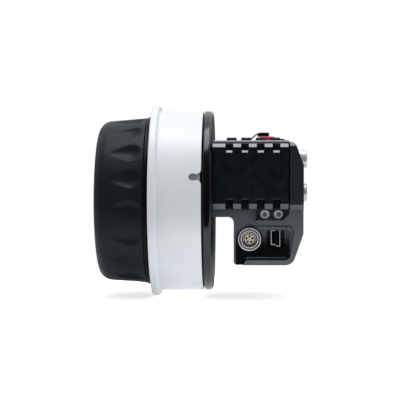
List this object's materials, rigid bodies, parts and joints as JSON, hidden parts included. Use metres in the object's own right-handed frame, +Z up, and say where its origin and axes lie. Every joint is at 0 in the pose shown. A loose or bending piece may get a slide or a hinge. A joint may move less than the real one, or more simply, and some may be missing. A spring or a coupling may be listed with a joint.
{
  "type": "follow focus hand unit",
  "caption": "Follow focus hand unit: rubber-gripped focus knob with a white marking ring, on a compact black electronics body with keys, a record button and sockets.",
  "frame": {"origin": "mouth of the tripod thread in the middle of the base face, under the knob axis", "axes": "+X along the knob axis from the knob to the electronics body, +Y away from the battery side, +Z up towards the keys"},
  "size_m": [0.0918, 0.0842, 0.0842],
  "materials": {
    "grip_rubber": "satin",
    "ring_plastic": "translucent satin",
    "black_anodised": "fine matte anodised",
    "cover_black": "fine matte anodised",
    "knob_black": "satin anodised",
    "disc_black": "semi-gloss anodised",
    "panel_black": "satin",
    "pack_plastic": "fine grained",
    "key_rubber": "satin",
    "red_plastic": "gloss",
    "gloss_black": "gloss",
    "satin_metal": "satin",
    "chrome": "polished",
    "nickel": "satin plated",
    "gold": "gold plated",
    "steel": "machined",
    "brass": "machined",
    "insulator": "satin",
    "circuit_board": "solder mask",
    "felt": "felt"
  },
  "bodies": {
    "housing": {"front_bearing": "steel", "rear_bearing": "steel", "index_disc": "disc_black", "felt_ring": "felt", "disc_screws": "steel", "main_housing": "black_anodised", "top_panel": "panel_black", "button_guard": "gloss_black", "end_cover": "cover_black", "socket_shell": "nickel", "socket_sleeve": "nickel", "socket_insert": "insulator", "socket_contacts": "gold", "usb_shell": "nickel", "usb_tongue": "gloss_black", "usb_contacts": "gold", "tray_screws": "chrome", "cover_screws": "steel", "thread_insert": "brass", "main_board": "circuit_board", "main_board_posts": "brass", "key_board": "circuit_board", "key_board_posts": "brass", "key_switches": "gloss_black", "side_board": "circuit_board", "side_board_posts": "brass", "side_switches": "gloss_black", "encoder_board": "circuit_board", "encoder_posts": "brass", "contact_block": "gloss_black", "contact_blades": "gold"},
    "knob": {"knob_grip": "grip_rubber", "knob_core": "knob_black", "front_cap": "knob_black", "ring_pin": "steel", "stop_pin": "steel", "knob_shaft": "steel", "hub_washer": "steel", "hub_screw": "steel", "shaft_clip": "steel", "encoder_magnet": "steel"},
    "marking_ring": {"marking_ring": "ring_plastic"},
    "battery": {"battery_pack": "pack_plastic"},
    "record_button": {"record_button": "red_plastic"},
    "side_button_lower": {"side_button_lower": "satin_metal"},
    "side_button_upper": {"side_button_upper": "satin_metal"},
    "soft_key_1": {"soft_key_1": "key_rubber"},
    "soft_key_2": {"soft_key_2": "key_rubber"},
    "soft_key_3": {"soft_key_3": "key_rubber"},
    "soft_key_4": {"soft_key_4": "key_rubber"}
  },
  "joints": [
    {"name": "knob_spin", "type": "hinge", "parent": "housing", "child": "knob", "pos_m": [-0.0254, 0, 0.0273], "axis": [1, 0, 0], "range_deg": [-150, 150]},
    {"name": "ring_pull", "type": "slide", "parent": "knob", "child": "marking_ring", "axis": [-1, 0, 0], "range_m": [0, 0.048]},
    {"name": "battery_release", "type": "slide", "parent": "housing", "child": "battery", "axis": [0, -1, 0], "range_m": [0, 0.016]},
    {"name": "key_1_press", "type": "slide", "parent": "housing", "child": "soft_key_1", "axis": [0, 0, -1], "range_m": [0, 0.0008], "stiffness_N_per_m": 900, "springref_m": -0.0005},
    {"name": "key_2_press", "type": "slide", "parent": "housing", "child": "soft_key_2", "axis": [0, 0, -1], "range_m": [0, 0.0008], "stiffness_N_per_m": 900, "springref_m": -0.0005},
    {"name": "key_3_press", "type": "slide", "parent": "housing", "child": "soft_key_3", "axis": [0, 0, -1], "range_m": [0, 0.0008], "stiffness_N_per_m": 900, "springref_m": -0.0005},
    {"name": "key_4_press", "type": "slide", "parent": "housing", "child": "soft_key_4", "axis": [0, 0, -1], "range_m": [0, 0.0008], "stiffness_N_per_m": 900, "springref_m": -0.0005},
    {"name": "record_press", "type": "slide", "parent": "housing", "child": "record_button", "axis": [0, 0, -1], "range_m": [0, 0.0008], "stiffness_N_per_m": 900, "springref_m": -0.0005},
    {"name": "side_upper_press", "type": "slide", "parent": "housing", "child": "side_button_upper", "axis": [-1, 0, 0], "range_m": [0, 0.0006], "stiffness_N_per_m": 900, "springref_m": -0.0005},
    {"name": "side_lower_press", "type": "slide", "parent": "housing", "child": "side_button_lower", "axis": [-1, 0, 0], "range_m": [0, 0.0006], "stiffness_N_per_m": 900, "springref_m": -0.0005}
  ]
}
